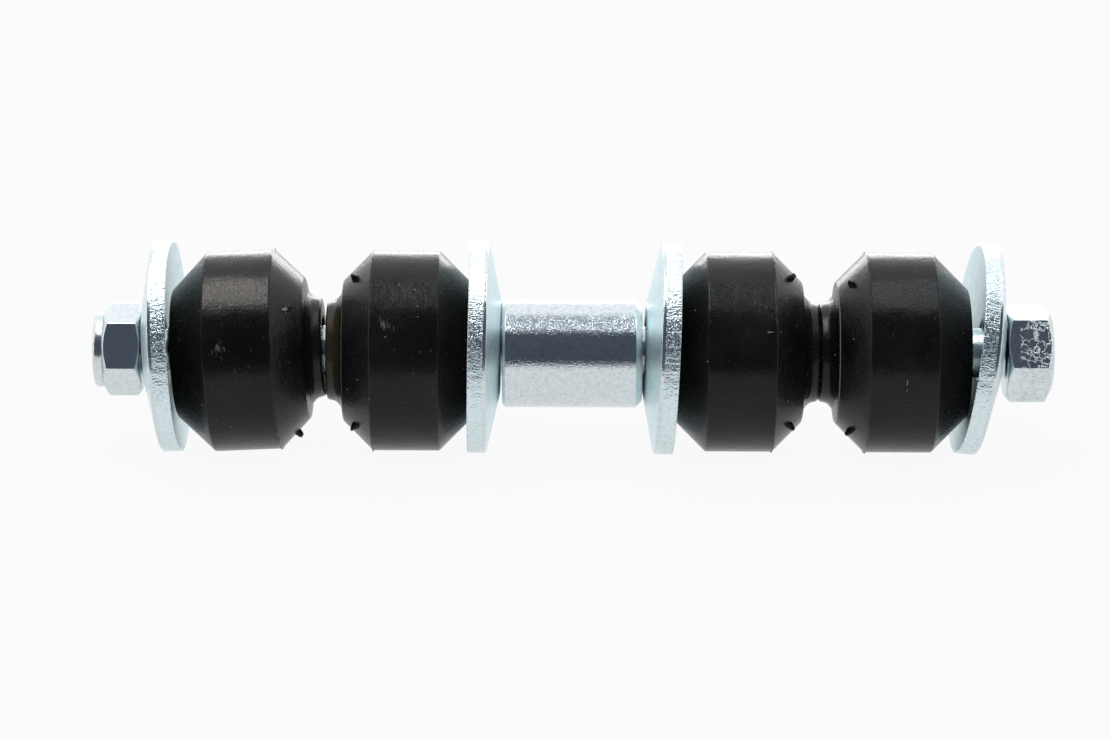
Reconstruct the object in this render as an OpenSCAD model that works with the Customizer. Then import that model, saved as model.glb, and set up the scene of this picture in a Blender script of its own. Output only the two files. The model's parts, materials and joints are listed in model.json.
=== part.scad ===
// Stabilizer link: a long bolt carries a spacer sleeve, four dished washers and four rubber
// bushings, and a locking nut keeps the stack together. The bar's eye and the arm's hole sit
// on the pilots of two facing bushings each. The bolt lies along X with its head at +X, and the
// origin is on the bolt's axis at the middle of the sleeve. The stack is hand-tight, so its loose
// pieces lean and hang on the bolt by the play in their bores.

/* [Bolt] */
// Diameter of the plain shank
bolt_d = 8; // [7:0.1:9]
// Length of the threaded stretch at the nut end
thread_len = 28; // [16:1:40]
// Depth from the shank's surface to the thread's pitch line
thread_depth = 0.4; // [0.2:0.05:0.6]
// Length of the bevel on the bolt's end
end_bevel = 1; // [0.4:0.1:1.5]
// How far the bolt's end lies inside the mouth of the nut
end_inset = 1; // [0.5:0.1:2]
// Width of the head across its flats
head_af = 14; // [12:0.1:17]
// Height of the head
head_h = 7.35; // [5:0.05:9]
// How far the head's front flat is turned to look up
head_turn = 32; // [0:1:59]

/* [Locking nut] */
// Width of the nut across its flats
nut_af = 13; // [12:0.1:16]
// Height of the six-sided part
nut_h = 6.1; // [4.8:0.1:8]
// Height of the round collar past the six-sided part
collar_h = 1.5; // [1.2:0.1:2.5]
// How far the collar stands inside the nut's flats
collar_inset = 0.45; // [0.2:0.05:0.8]
// Wall of the collar round the insert
collar_wall = 0.7; // [0.4:0.05:0.9]
// How far the collar's rolled lip reaches over the insert
lip_reach = 0.7; // [0.3:0.05:1]
// Thickness of the rolled lip
lip_t = 0.45; // [0.3:0.05:0.7]
// Length of the insert
insert_h = 1.9; // [1.2:0.1:2.4]
// How far the nut's front flat is turned to look up
nut_turn = 24; // [0:1:59]

/* [Hexagon edges] */
// How far the bearing circle lies inside the flats of the head and the nut
hex_inset = 0.25; // [0.1:0.05:0.5]
// Angle of the chamfer on the corners
hex_chamfer = 30; // [15:1:40]

/* [Dished washers] */
// Outer diameter
washer_d = 34; // [30:0.1:38]
// Thickness of the sheet
washer_t = 3; // [2:0.1:3.6]
// Diameter of the flat hub
hub_d = 14.6; // [13:0.1:17]
// Rise of the dish from the rim to the hub
dish_rise = 2.15; // [1.2:0.05:3]
// Radius of the edge that the punch rolled over, on the hub's side of the rim
rim_roll = 1.1; // [0.5:0.1:1.4]
// Radius of the edges of the hole
hole_roll = 0.4; // [0.2:0.1:0.8]

/* [Rubber bushings] */
// Outer diameter
bush_d = 32.1; // [28:0.1:34]
// Length of the straight barrel
barrel_len = 10.65; // [8:0.05:14]
// Length of the cone that sits in the washer's dish
seat_cone_len = 5.8; // [4:0.1:7]
// Diameter of the end in the dish
seat_d = 20.5; // [17:0.1:24]
// Length of the cone on the pilot's side
nose_cone_len = 5.1; // [4:0.1:7]
// Diameter of the shoulder that bears on the bar or the arm
shoulder_d = 21.9; // [19:0.1:25]
// Diameter of the pilot that fits in the eye of the bar or the hole of the arm
pilot_d = 16.3; // [14:0.1:18]
// Length of the pilot
pilot_len = 2.3; // [1.5:0.1:4]
// Radius on the outer edges of the rubber
rubber_round = 0.5; // [0.2:0.1:0.9]

/* [Spacer sleeve] */
// Length
sleeve_len = 22.4; // [14:0.1:60]
// Outer diameter
sleeve_d = 17.3; // [14:0.1:20]
// Bevel on the sleeve's edge towards the head
sleeve_bevel_head = 1; // [0.2:0.1:1.5]
// Bevel on the sleeve's edge towards the nut
sleeve_bevel_nut = 0.4; // [0.2:0.1:1.5]

/* [Lean of the loose pieces] */
// Lean of the outer washer and the outer bushing at the nut, positive with the top towards the head
nut_outer_lean = -2.75; // [-3:0.05:3]
// Lean of the inner washer towards the nut
nut_inner_lean = 0.85; // [-3:0.05:3]
// Lean of the inner washer towards the head
head_inner_lean = 2.2; // [-3:0.05:3]
// Lean of the outer washer under the head
head_outer_lean = 6.5; // [-7:0.05:7]

/* [Clearances] */
// Play of the bolt in the washers, on the radius
washer_play = 0.7; // [0.5:0.05:1.2]
// Play of the bolt in the bushings, on the radius
bush_play = 0.8; // [0.75:0.05:1.2]
// Play of the bolt in the sleeve, on the radius
sleeve_play = 0.5; // [0.3:0.05:1]
// Play of the thread in the nut and its insert, on the radius
thread_play = 0.05; // [0.02:0.01:0.1]
// Room round the insert in the nut's collar
insert_play = 0.05; // [0.02:0.01:0.1]
// Room left between the bolt and a piece that hangs on it
hang_play = 0.1; // [0.05:0.01:0.2]
// Room left between two neighbours of the stack where they come closest
stack_play = 0.12; // [0.05:0.01:0.3]
// Slack left between the outer bushing at the nut and its washer
nut_slack = 0.8; // [0:0.05:1.5]

/* [Hidden] */
$fn = 96;

zinc = [0.80, 0.84, 0.88];
rubber = [0.09, 0.09, 0.10];
nylon = [0.93, 0.93, 0.90];
arc_steps = 4;
past = 0.5; // how far a cutting shape runs past the face that it opens

bolt_r = bolt_d / 2;
thread_r = bolt_r - thread_depth;
nut_bore_r = thread_r + thread_play;
collar_r = nut_af / 2 - collar_inset;
pocket_r = collar_r - collar_wall;

washer_r = washer_d / 2;
hub_r = hub_d / 2;
washer_bore_r = bolt_r + washer_play;
dish_slope = dish_rise / (washer_r - hub_r);

seat_r = seat_d / 2;
pilot_r = pilot_d / 2;
shoulder_at = seat_cone_len + barrel_len + nose_cone_len;
bush_len = shoulder_at + pilot_len;

// A washer rides up, and the sleeve hangs down, until the bolt almost touches the bore
function washer_lift(lean) =
  washer_bore_r * cos(lean) - washer_t / 2 * abs(sin(lean)) - bolt_r - hang_play;
sleeve_drop = sleeve_play - hang_play;

// How far a leaning washer reaches from its middle along the bolt, to the face that its hub meets
function hub_reach(lean) = washer_t / 2 * cos(lean) + hub_r * abs(sin(lean));

// Height of the dish's hollow face over the washer's middle plane, at a radius
function hollow(r) = washer_t / 2 + max(0, r - hub_r) * dish_slope;

// How far the hollow face reaches along the bolt where it meets the bushing's end, on the side
// that leans to the bushing by an angle, with the bushing's edge r off the washer's middle
function side_reach(lean, r) =
  let (at = (r + hollow(r) * sin(lean)) / cos(lean)) hollow(at) * cos(lean) + at * sin(lean);

// The same for the whole rim of the bushing's end, with the top of the washer leaning to the
// bushing and its middle lifted over the bushing's
function dish_reach(lean, lift) =
  max(side_reach(lean, seat_r - lift), side_reach(-lean, seat_r + lift));

// The head's side of the stack, from the sleeve outwards
head_inner_washer_x = sleeve_len / 2 + stack_play + hub_reach(head_inner_lean);
head_inner_bush_x = head_inner_washer_x + stack_play
  + dish_reach(head_inner_lean, washer_lift(head_inner_lean));
head_outer_bush_x = head_inner_bush_x + 2 * bush_len + stack_play;
head_outer_washer_x = head_outer_bush_x + stack_play
  + dish_reach(-head_outer_lean, washer_lift(head_outer_lean));
head_x = head_outer_washer_x + hub_reach(head_outer_lean) + stack_play;

// The nut's side of the stack, from the sleeve outwards. The outer bushing leans about its middle
nut_inner_washer_x = -(sleeve_len / 2 + stack_play + hub_reach(nut_inner_lean));
nut_inner_bush_x = nut_inner_washer_x - stack_play
  - dish_reach(-nut_inner_lean, washer_lift(nut_inner_lean));
nut_outer_bush_x = nut_inner_bush_x - bush_len - stack_play
  - bush_len / 2 * cos(nut_outer_lean) - pilot_r * abs(sin(nut_outer_lean));
nut_outer_off = washer_lift(nut_outer_lean) - bush_len / 2 * sin(nut_outer_lean);
nut_outer_washer_x = nut_outer_bush_x - bush_len / 2 * cos(nut_outer_lean)
  - (dish_reach(0, nut_outer_off) + stack_play + nut_slack) / cos(nut_outer_lean)
  - nut_outer_off * abs(tan(nut_outer_lean));
nut_x = nut_outer_washer_x - hub_reach(nut_outer_lean) - stack_play;
bolt_end_x = nut_x - nut_h - collar_h + end_inset;

function unit(v) = v / norm(v);
function turned(a, b) = let (t = b - a) t > 180 ? t - 360 : t < -180 ? t + 360 : t;

// The points of an arc of radius r that rounds the corner b of the path a, b, c
function corner(a, b, c, r) =
  let (
    u = unit(a - b),
    v = unit(c - b),
    half = acos(u * v) / 2,
    middle = b + unit(u + v) * r / sin(half),
    from = b + u * r / tan(half) - middle,
    to = b + v * r / tan(half) - middle,
    start = atan2(from[1], from[0]),
    sweep = turned(start, atan2(to[1], to[0]))
  )
  [for (i = [0 : arc_steps]) let (t = start + sweep * i / arc_steps) middle + r * [cos(t), sin(t)]];

// A closed outline of [x, y, corner radius] with its corners rounded
function rounded(outline) =
  let (n = len(outline), p = [for (o = outline) [o[0], o[1]]])
  [for (i = [0 : n - 1])
    each outline[i][2] == 0 ? [p[i]]
      : corner(p[(i + n - 1) % n], p[i], p[(i + 1) % n], outline[i][2])];

// Puts a piece that is drawn up along Z on the bolt, with its top towards the head or the nut
module towards_head(x, lean = 0, lift = 0) {
  translate([x, 0, lift]) rotate([0, 90 + lean, 0]) children();
}

module towards_nut(x, lean = 0, lift = 0) {
  translate([x, 0, lift]) rotate([0, -90 + lean, 0]) children();
}

// A six-sided block on Z = 0 with a flat at -Y and the corners chamfered at both ends
module hexagon(af, h) {
  bearing_r = af / 2 - hex_inset;
  corner_r = af / 2 / cos(30);
  wide_r = corner_r + past;
  drop = (wide_r - bearing_r) * tan(hex_chamfer);
  intersection() {
    cylinder(r = corner_r, h = h, $fn = 6);
    rotate_extrude()
      polygon([[0, 0], [bearing_r, 0], [wide_r, drop], [wide_r, h - drop], [bearing_r, h], [0, h]]);
  }
}

// A dished washer about the middle of its hub, with the hub's flat face at -Z
module dished_washer() {
  translate([0, 0, -washer_t / 2])
    rotate_extrude()
      polygon(rounded([
        [washer_bore_r, 0, hole_roll],
        [hub_r, 0, 0],
        [washer_r, dish_rise, rim_roll],
        [washer_r, dish_rise + washer_t, 0],
        [hub_r, washer_t, 0],
        [washer_bore_r, washer_t, hole_roll]
      ]));
}

// A bushing from its seat in the dish, on Z = 0, up to the tip of its pilot
module bushing() {
  bore_r = bolt_r + bush_play;
  rotate_extrude()
    polygon(rounded([
      [bore_r, 0, 0],
      [seat_r, 0, rubber_round],
      [bush_d / 2, seat_cone_len, rubber_round],
      [bush_d / 2, seat_cone_len + barrel_len, rubber_round],
      [shoulder_d / 2, shoulder_at, rubber_round],
      [pilot_r, shoulder_at, 0],
      [pilot_r, bush_len, rubber_round],
      [bore_r, bush_len, 0]
    ]));
}

// The hole through the nut, from its bearing face on Z = 0: thread, insert pocket and rolled mouth
module nut_hole() {
  mouth = nut_h + collar_h;
  entry_r = bolt_r + thread_play;
  pocket_top = mouth - lip_t;
  pocket_floor = pocket_top - insert_h - 2 * insert_play;
  rotate_extrude()
    polygon([
      [0, -past],
      [entry_r, -past],
      [entry_r, 0],
      [nut_bore_r, thread_depth],
      [nut_bore_r, pocket_floor],
      [pocket_r, pocket_floor],
      [pocket_r, pocket_top],
      [pocket_r - lip_reach, pocket_top],
      [pocket_r - lip_reach, mouth + past],
      [0, mouth + past]
    ]);
}

module through_bolt() {
  shank_len = head_x - bolt_end_x;
  color(zinc)
    union() {
      towards_head(head_x) rotate([0, 0, -head_turn]) hexagon(head_af, head_h);
      towards_nut(head_x)
        rotate_extrude()
          polygon([
            [0, -head_h / 2],
            [bolt_r, -head_h / 2],
            [bolt_r, shank_len - thread_len],
            [thread_r, shank_len - thread_len + thread_depth],
            [thread_r, shank_len - end_bevel],
            [thread_r - end_bevel * tan(30), shank_len],
            [0, shank_len]
          ]);
    }
}

module lock_nut() {
  color(zinc)
    towards_nut(nut_x)
      difference() {
        union() {
          rotate([0, 0, nut_turn]) hexagon(nut_af, nut_h);
          rotate_extrude()
            polygon(rounded([
              [0, nut_h / 2, 0],
              [collar_r, nut_h / 2, 0],
              [collar_r, nut_h + collar_h, collar_wall],
              [0, nut_h + collar_h, 0]
            ]));
        }
        nut_hole();
      }
}

module nylon_insert() {
  top = nut_h + collar_h - lip_t - insert_play;
  color(nylon)
    towards_nut(nut_x)
      translate([0, 0, top - insert_h])
        difference() {
          cylinder(r = pocket_r - insert_play, h = insert_h);
          translate([0, 0, -past]) cylinder(r = nut_bore_r, h = insert_h + 2 * past);
        }
}

module washer_nut_outer() {
  color(zinc)
    towards_head(nut_outer_washer_x, nut_outer_lean, washer_lift(nut_outer_lean)) dished_washer();
}

module bushing_nut_outer() {
  color(rubber)
    towards_head(nut_outer_bush_x, nut_outer_lean) translate([0, 0, -bush_len / 2]) bushing();
}

module bushing_nut_inner() {
  color(rubber) towards_nut(nut_inner_bush_x) bushing();
}

module washer_nut_inner() {
  color(zinc)
    towards_nut(nut_inner_washer_x, nut_inner_lean, washer_lift(nut_inner_lean)) dished_washer();
}

module spacer_sleeve() {
  bore_r = bolt_r + sleeve_play;
  outer_r = sleeve_d / 2;
  color(zinc)
    towards_head(-sleeve_len / 2, 0, -sleeve_drop)
      rotate_extrude()
        polygon([
          [bore_r, 0],
          [outer_r - sleeve_bevel_nut, 0],
          [outer_r, sleeve_bevel_nut],
          [outer_r, sleeve_len - sleeve_bevel_head],
          [outer_r - sleeve_bevel_head, sleeve_len],
          [bore_r, sleeve_len]
        ]);
}

module washer_head_inner() {
  color(zinc)
    towards_head(head_inner_washer_x, head_inner_lean, washer_lift(head_inner_lean)) dished_washer();
}

module bushing_head_inner() {
  color(rubber) towards_head(head_inner_bush_x) bushing();
}

module bushing_head_outer() {
  color(rubber) towards_nut(head_outer_bush_x) bushing();
}

module washer_head_outer() {
  color(zinc)
    towards_nut(head_outer_washer_x, head_outer_lean, washer_lift(head_outer_lean)) dished_washer();
}

through_bolt();
lock_nut();
nylon_insert();
washer_nut_outer();
bushing_nut_outer();
bushing_nut_inner();
washer_nut_inner();
spacer_sleeve();
washer_head_inner();
bushing_head_inner();
bushing_head_outer();
washer_head_outer();
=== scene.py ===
import json
import math

import bmesh
import bpy
from mathutils import Matrix, Vector, noise


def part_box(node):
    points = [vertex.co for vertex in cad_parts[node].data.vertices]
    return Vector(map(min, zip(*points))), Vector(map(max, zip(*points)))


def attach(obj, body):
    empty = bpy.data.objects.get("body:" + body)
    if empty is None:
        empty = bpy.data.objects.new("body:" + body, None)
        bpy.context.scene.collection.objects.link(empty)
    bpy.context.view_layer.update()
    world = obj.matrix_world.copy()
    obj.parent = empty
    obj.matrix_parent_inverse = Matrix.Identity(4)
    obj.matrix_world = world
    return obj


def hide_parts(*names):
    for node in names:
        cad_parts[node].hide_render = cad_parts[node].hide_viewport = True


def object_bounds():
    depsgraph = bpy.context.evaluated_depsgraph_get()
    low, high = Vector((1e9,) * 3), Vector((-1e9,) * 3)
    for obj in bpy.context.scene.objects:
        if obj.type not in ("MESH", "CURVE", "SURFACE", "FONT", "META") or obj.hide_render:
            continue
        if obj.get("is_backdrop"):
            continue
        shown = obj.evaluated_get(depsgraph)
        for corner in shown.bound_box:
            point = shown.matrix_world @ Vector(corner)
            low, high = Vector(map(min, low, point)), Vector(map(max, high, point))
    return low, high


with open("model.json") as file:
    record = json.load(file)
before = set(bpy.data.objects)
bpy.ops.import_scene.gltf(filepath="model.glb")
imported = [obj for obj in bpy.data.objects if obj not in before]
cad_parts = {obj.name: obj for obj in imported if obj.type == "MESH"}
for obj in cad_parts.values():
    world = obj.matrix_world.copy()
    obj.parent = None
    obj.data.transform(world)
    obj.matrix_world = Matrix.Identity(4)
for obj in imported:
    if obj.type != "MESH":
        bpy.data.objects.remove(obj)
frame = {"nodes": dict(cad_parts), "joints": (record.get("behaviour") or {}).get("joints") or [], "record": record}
CAD_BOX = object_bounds()

bl_info = {
    "name": "Stabilizer Link",
    "version": (1, 0, 0),
    "blender": (4, 5, 0),
    "location": "3D View > Sidebar > Stabilizer Link",
    "description": "Moulds the rubber and plates the hardware of a bolt-type stabilizer link",
    "category": "Object",
}

# Axes of the frame, and millimetres in metres
X, Y, Z = 0, 1, 2
MM = 0.001

SIDEBAR_TAB = "Stabilizer Link"

# The photograph's frame
IMAGE_WIDTH = 1110
SENSOR_WIDTH = 36.0

# Steps of a rounded corner of an outline, the rows that it adds, and the most of a side that it may take
ARC_STEPS = 6
ARC_ROWS = ARC_STEPS + 1
ARC_SHARE = 0.48

# Steps round each kind of piece, and along each flat and corner of a hexagon
BUSHING_STEPS = 320
WASHER_STEPS = 600
SLEEVE_STEPS = 256
INSERT_STEPS = 144
FLAT_STEPS = 18
CORNER_STEPS = 8

# Sides of a hexagon, and the angle from one to the next
HEXAGON_SIDES = 6
SIXTH = math.tau / HEXAGON_SIDES

# Points that lie closer than this, in metres, are one point
SAME_POINT = 1e-8

# How closely unevenness waves round a piece: the parting flash, in long and short waves, the rubber's skin
# and a washer's burr
FLASH_WAVES = 3.0
FLASH_RIPPLES = 11.0
SKIN_WAVES = 1.6
BURR_WAVES = 14.0

# Parting flash, as shares of its height: its mean, how far its waves change it, and its least
FLASH_MEAN = 0.62
FLASH_SWING = 0.5
FLASH_LEAST = 0.12

# Crest of the parting flash, as a share of its width
FLASH_CREST = 0.35

# Torn strip of a washer's rim: its rows, the octaves of its noise and its scale across the sheet
TORN_ROWS = 10
TORN_OCTAVES = 3
TORN_DRAW = 0.3

# Depths in a washer's rim, as shares of the tear: its mean, how far it varies, the burnish and the burr
TORN_MEAN = 0.55
TORN_SWING = 0.6
BURNISH_DEPTH = 0.2
BURR_DEPTH = 0.3

# Steps in the noise from one seed to the next, for waves and for torn metal
WAVE_STEP = 7.3
TORN_STEP = 31.0

# Places of a washer's finishes among its materials
SHEET_FACE, TORN_RIM, BURNISHED_EDGE = 0, 1, 2


# What the frame says

def span(name, axis):
    """Length of a CAD node along one axis of the frame."""
    low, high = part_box(name)
    return high[axis] - low[axis]


def mount_radius(name):
    """Radius of a round mount of the record, in metres."""
    for mount in frame["record"]["mounts"]:
        if mount["name"] == name:
            return mount["dims"]["r_mm"] * MM
    raise RuntimeError(f"the record has no mount {name}")


def body_of(name):
    """The body that carries a CAD node."""
    for body, nodes in frame["record"]["behaviour"]["bodies"].items():
        if name in nodes:
            return body
    raise RuntimeError(f"no body carries {name}")


def joint_axis(name):
    """Direction of a joint's axis in the frame."""
    for joint in frame["joints"]:
        if joint["name"] == name:
            return Vector(joint["axis"])
    raise RuntimeError(f"the record has no joint {name}")


def stand(name, axis):
    """Matrix that stands a piece, made along local Z from zero, where the CAD node stands."""
    up = Vector(axis).normalized()
    side = Vector((0, 1, 0))
    front = side.cross(up)
    points = [vertex.co for vertex in frame["nodes"][name].data.vertices]

    def middle(direction):
        reach = [point.dot(direction) for point in points]
        return direction * (min(reach) + max(reach)) / 2

    start = up * min(point.dot(up) for point in points)
    place = Matrix((front, side, up)).transposed().to_4x4()
    place.translation = start + middle(side) + middle(front)
    return place


def facing(place, lift):
    """Angle round a standing piece of the direction to the front, lifted above the floor."""
    direction = place.to_3x3().inverted() @ Vector((0, -math.cos(lift), math.sin(lift)))
    return math.atan2(direction.y, direction.x)


# Each turned piece: its CAD node, the joint whose axis it stands on and the way it looks along that axis
BUSHINGS = {
    "bushing_nut_outer": ("nut_washer_spin", 1),
    "bushing_nut_inner": ("bolt_slide", -1),
    "bushing_head_inner": ("bolt_slide", 1),
    "bushing_head_outer": ("head_bushing_spin", -1),
}
WASHERS = {
    "washer_nut_outer": ("nut_washer_spin", 1),
    "washer_nut_inner": ("nut_inner_washer_spin", -1),
    "washer_head_inner": ("head_inner_washer_spin", 1),
    "washer_head_outer": ("head_washer_spin", -1),
}

# Seed of each piece's random marks
MARKED = (*BUSHINGS, *WASHERS, "spacer_sleeve", "through_bolt", "rolled_thread", "lock_nut", "nylon_insert")
SEEDS = {name: seed for seed, name in enumerate(MARKED, start=1)}

# Step of the grain from one piece to the next, in millimetres, so that no two pieces have the same marks
GRAIN_STEP = Vector((17.0, 29.0, 0.0))


def grain_at(name, place):
    """Place in the grain, from the place on a piece before it is stood in the frame, in millimetres."""
    return GRAIN_STEP * SEEDS[name] + Vector(place)


# Kinds of setting

def amount(name, description, default, **limits):
    """A number."""
    return bpy.props.FloatProperty(name=name, description=description, default=default, **limits)


def length(name, description, default):
    """A size in metres."""
    return amount(name, description, default, precision=5, unit="LENGTH")


def degrees(name, description, default):
    """An angle, given in degrees."""
    return amount(name, description, math.radians(default), subtype="ANGLE")


def share(name, description, default):
    """A share between nothing and all."""
    return amount(name, description, default, min=0.0, max=1.0, subtype="FACTOR")


def colour(name, description, default):
    """A linear colour."""
    return bpy.props.FloatVectorProperty(
        name=name, description=description, default=default, size=4, min=0.0, max=1.0, subtype="COLOR"
    )


def count(name, description, default):
    """A number of like things."""
    return bpy.props.IntProperty(name=name, description=description, default=default, min=1)


class BushingSizes(bpy.types.PropertyGroup):
    """Sizes of the moulded rubber bushings"""

    diameter: length("Diameter", "Across the barrel", span("bushing_head_inner", Y))
    length: length("Length", "From the seat to the tip of the pilot", span("bushing_head_inner", X))
    bore: length("Bore", "Across the hole for the bolt", 0.0096)
    seat_diameter: length("Seat", "Across the flat end that lies in the washer", 0.0205)
    seat_cone: length("Seat Cone", "Length of the cone next to the washer", 0.0058)
    barrel: length("Barrel", "Length of the straight middle", 0.01065)
    shoulder_diameter: length("Shoulder", "Across the face that clamps the bar or the arm", 0.0219)
    shoulder_setback: length("Shoulder Setback", "How far the shoulder slopes back to its edge", 0.00035)
    shoulder_round: length("Shoulder Round", "Rounding of the shoulder's edge", 0.0007)
    pilot_root: length("Pilot Root", "Across the pilot at the shoulder", 2 * mount_radius("arm_hole_seat"))
    pilot_tip: length("Pilot Tip", "Across the pilot at its end", 0.0157)
    pilot_length: length("Pilot Length", "How far the pilot stands out of the shoulder", 0.0023)
    flare_width: length("Flare Width", "How far the pilot's foot spreads over the shoulder", 0.001)
    flare_length: length("Flare Length", "Length of the pilot's spreading foot", 0.0009)
    flare_round: length("Flare Round", "Hollow rounding of the pilot's foot", 0.0015)
    edge_round: length("Edge Round", "Rounding of the moulded edges", 0.0005)
    flash_height: length("Flash Height", "How far the mould's parting flash stands out", 0.00034)
    flash_width: length("Flash Width", "Width of the parting flash", 0.00022)
    swell: length("Swell", "Unevenness of the moulded skin", 0.00007)
    gates: count("Gates", "Torn gate stubs round the nose cone", 3)
    gate_diameter: length("Gate Diameter", "Across a gate stub", 0.0017)
    gate_height: length("Gate Height", "How far a gate stub stands out", 0.00105)
    gate_sink: share("Gate Sink", "Depth of a stub's foot in the cone, as a share of its radius", 0.56)
    gate_taper: share("Gate Taper", "Radius of a stub's tip, as a share of its foot's", 0.3)
    gate_tear: share("Gate Tear", "Raggedness of a stub, as a share of its radius", 0.8)
    gate_lift_nut_outer: degrees("Gate Turn, Nut Outer", "First gate above the front", 47)
    gate_lift_nut_inner: degrees("Gate Turn, Nut Inner", "First gate above the front", 77)
    gate_lift_head_inner: degrees("Gate Turn, Head Inner", "First gate above the front", 80)
    gate_lift_head_outer: degrees("Gate Turn, Head Outer", "First gate above the front", 73)


class WasherSizes(bpy.types.PropertyGroup):
    """Sizes of the dished washers"""

    diameter: length("Diameter", "Across the rim", span("washer_head_inner", Y))
    bore: length("Bore", "Across the hole", 0.0094)
    thickness: length("Thickness", "Thickness of the sheet", 0.003)
    hub_diameter: length("Hub", "Across the flat middle", 0.0146)
    rise: length("Rise", "How far the rim is dished", 0.00215)
    bend: length("Bend", "Radius of the bend round the hub", 0.006)
    roll: length("Die Roll", "Rounding of the rim where the punch drew it in", 0.0007)
    burnish: length("Burnish", "Width of the smooth sheared strip on the rim", 0.0006)
    tear: length("Tear", "How deep the torn part of the rim is", 0.00011)
    burr: length("Burr", "How far the burr stands out of the rim", 0.00006)
    burr_width: length("Burr Width", "Width of the raised edge along the burr", 0.0005)
    burr_rise: length("Burr Rise", "Height of that edge above the hollow side", 0.00008)
    bore_round: length("Bore Round", "Rounding of the hole's edges", 0.0004)


class SleeveSizes(bpy.types.PropertyGroup):
    """Sizes of the spacer sleeve"""

    diameter: length("Diameter", "Across the tube", span("spacer_sleeve", Y))
    length: length("Length", "From end to end", span("spacer_sleeve", X))
    bore: length("Bore", "Across the hole", 0.009)
    nut_bevel: length("Nut Bevel", "Bevel of the end towards the nut", 0.00045)
    head_bevel: length("Head Bevel", "Bevel of the end towards the bolt's head", 0.0010)
    edge_round: length("Edge Round", "Rounding of the bevels", 0.00025)


class BoltSizes(bpy.types.PropertyGroup):
    """Sizes of the through bolt"""

    diameter: length("Diameter", "Across the shank", 0.008)
    length: length("Length", "From the top of the head to the end", span("through_bolt", X))
    head_flats: length("Head Flats", "Across the flats of the head", 0.014)
    head_height: length("Head Height", "Height of the head", 0.00735)
    head_lift: degrees("Head Turn", "How far the front flat of the head looks up", 32)
    head_inset: length("Head Inset", "How far the top's circle lies inside the flats", 0.0009)
    bearing_inset: length("Bearing Inset", "How far the bearing face lies inside the flats", 0.00015)
    head_chamfer: degrees("Head Chamfer", "Slope of the chamfer", 30)
    corner_round: length("Corner Round", "Rounding of the six corners", 0.0005)
    edge_round: length("Edge Round", "Rounding of the chamfer's edges", 0.0003)
    neck_round: length("Neck Round", "Rounding under the head", 0.00045)
    thread_length: length("Thread", "Length of the thread", 0.028)
    thread_root: length("Thread Root", "Across the bottom of the thread", 0.0067)
    thread_crest: length("Thread Crest", "Across the top of the thread", 0.0079)
    crest_width: length("Crest Width", "Flat at the top of the thread", 0.00016)
    foot_width: length("Foot Width", "Width of the thread's ridge at the bottom", 0.00088)
    ridge_sink: length("Ridge Sink", "Depth of the ridge's foot in the core", 0.00005)
    thread_round: length("Thread Round", "Rounding of the edges at the thread's ends", 0.0002)
    pitch: length("Pitch", "Step of the thread in one turn", 0.00125)
    thread_start: length("Thread Start", "Bare end before the first turn", 0.0024)
    end_bevel: length("End Bevel", "Bevel of the threaded end", 0.001)


class NutSizes(bpy.types.PropertyGroup):
    """Sizes of the lock nut and its insert"""

    flats: length("Flats", "Across the flats", 0.013)
    hexagon_height: length("Hexagon Height", "Height of the six-sided part", 0.0061)
    height: length("Height", "With the collar", span("lock_nut", X))
    lift: degrees("Turn", "How far the front flat looks up", 24)
    collar_inset: length("Collar Inset", "How far the collar's end lies inside the flats", 0.0006)
    bearing_inset: length("Bearing Inset", "How far the bearing face lies inside the flats", 0.00015)
    chamfer: degrees("Chamfer", "Slope of the chamfer", 30)
    corner_round: length("Corner Round", "Rounding of the six corners", 0.0005)
    edge_round: length("Edge Round", "Rounding of the chamfer's edges", 0.0004)
    bore: length("Bore", "Across the threaded hole", 0.00806)
    countersink: length("Countersink", "Depth of the hole's bevel", 0.0006)
    hole_round: length("Hole Round", "Rounding of the edges inside", 0.0001)
    ledge: length("Ledge", "Least width of the flat round the collar", 0.0001)
    collar_root: length("Collar Root", "Rounding where the collar leaves the hexagon", 0.00008)
    collar: length("Collar", "Across the round collar", 0.0121)
    collar_round: length("Collar Round", "Rounding of the rolled collar", 0.00085)
    pocket: length("Pocket", "Across the room for the insert", 0.0107)
    pocket_depth: length("Pocket Depth", "From the lip to the pocket's floor", 0.00197)
    lip_bore: length("Lip", "Across the opening of the rolled lip", 0.0093)
    lip: length("Lip Thickness", "Thickness of the rolled lip", 0.00045)
    lip_round: length("Lip Round", "Rounding of the rolled lip", 0.0002)
    insert_diameter: length("Insert", "Across the nylon ring", span("nylon_insert", Y))
    insert_height: length("Insert Height", "Height of the nylon ring", span("nylon_insert", X))
    insert_bore: length("Insert Bore", "Across the hole of the nylon ring", 0.0073)
    insert_round: length("Insert Round", "Rounding of the nylon ring", 0.0003)


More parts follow.
